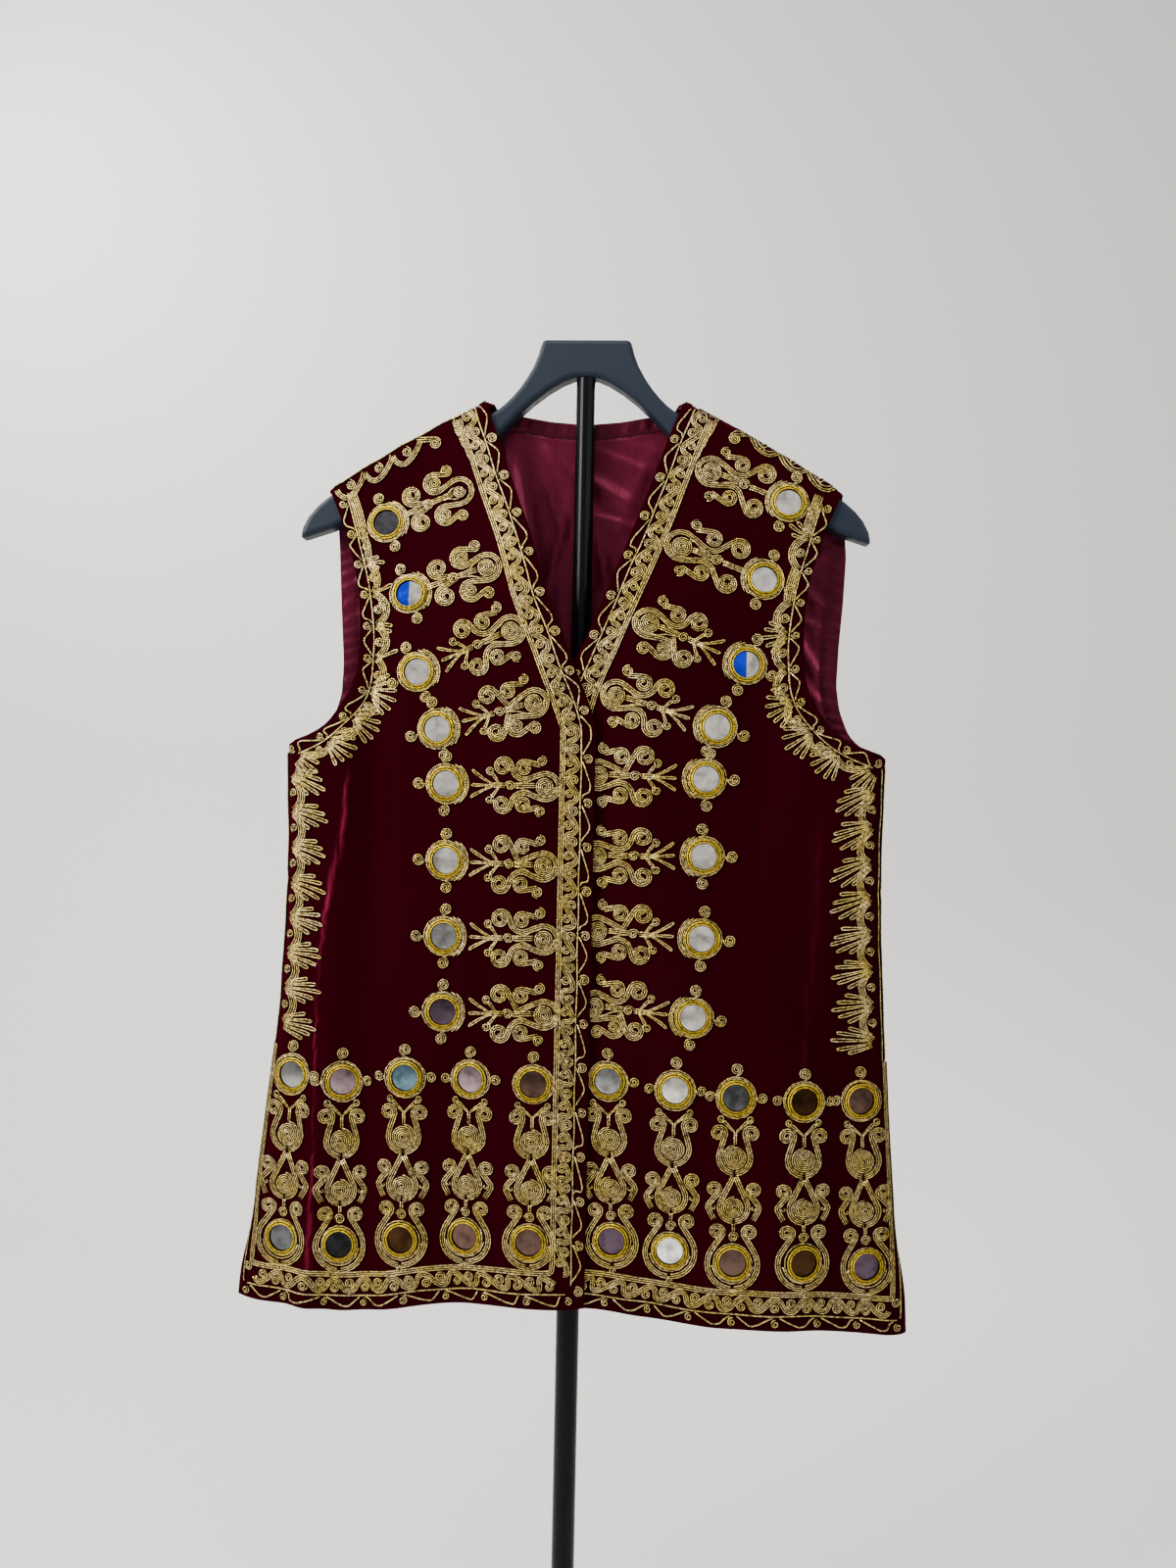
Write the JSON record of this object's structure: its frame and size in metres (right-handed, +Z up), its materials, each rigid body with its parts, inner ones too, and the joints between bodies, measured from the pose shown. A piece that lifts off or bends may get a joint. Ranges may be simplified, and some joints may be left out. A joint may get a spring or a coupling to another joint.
{
  "type": "embroidered folk vest on a hanger stand",
  "caption": "Sleeveless velvet vest with couched gold cord and round mirrors, hanging on a black display stand with a round foot.",
  "frame": {"origin": "centre of the stand's round foot, on its underside", "axes": "+X to the right as seen from the front (the wearer's left), +Y to the back, +Z up along the pole"},
  "size_m": [0.5501, 0.29, 1.2865],
  "materials": {
    "wine_velvet": "deep pile with a soft sheen, gold cord couched on the fronts",
    "wine_satin": "satin lining with soft highlights",
    "mirror_glass": "small round mirror in a padded rim of gold thread",
    "black_lacquer": "black satin lacquer",
    "black_steel": "black satin powder coat"
  },
  "bodies": {
    "root": {"front_right": "wine_velvet", "front_left": "wine_velvet", "back": "wine_velvet", "back_lining": "wine_satin", "mirror_right_01": "mirror_glass", "mirror_right_02": "mirror_glass", "mirror_right_03": "mirror_glass", "mirror_right_04": "mirror_glass", "mirror_right_05": "mirror_glass", "mirror_right_06": "mirror_glass", "mirror_right_07": "mirror_glass", "mirror_right_08": "mirror_glass", "mirror_right_09": "mirror_glass", "mirror_right_10": "mirror_glass", "mirror_right_11": "mirror_glass", "mirror_right_12": "mirror_glass", "mirror_right_13": "mirror_glass", "mirror_right_14": "mirror_glass", "mirror_right_15": "mirror_glass", "mirror_right_16": "mirror_glass", "mirror_right_17": "mirror_glass", "mirror_right_18": "mirror_glass", "mirror_left_01": "mirror_glass", "mirror_left_02": "mirror_glass", "mirror_left_03": "mirror_glass", "mirror_left_04": "mirror_glass", "mirror_left_05": "mirror_glass", "mirror_left_06": "mirror_glass", "mirror_left_07": "mirror_glass", "mirror_left_08": "mirror_glass", "mirror_left_09": "mirror_glass", "mirror_left_10": "mirror_glass", "mirror_left_11": "mirror_glass", "mirror_left_12": "mirror_glass", "mirror_left_13": "mirror_glass", "mirror_left_14": "mirror_glass", "mirror_left_15": "mirror_glass", "mirror_left_16": "mirror_glass", "mirror_left_17": "mirror_glass", "mirror_left_18": "mirror_glass", "stand_board": "black_lacquer", "stand_upper_tube": "black_steel", "stand_lower_tube": "black_steel", "stand_foot": "black_steel"}
  },
  "joints": []
}
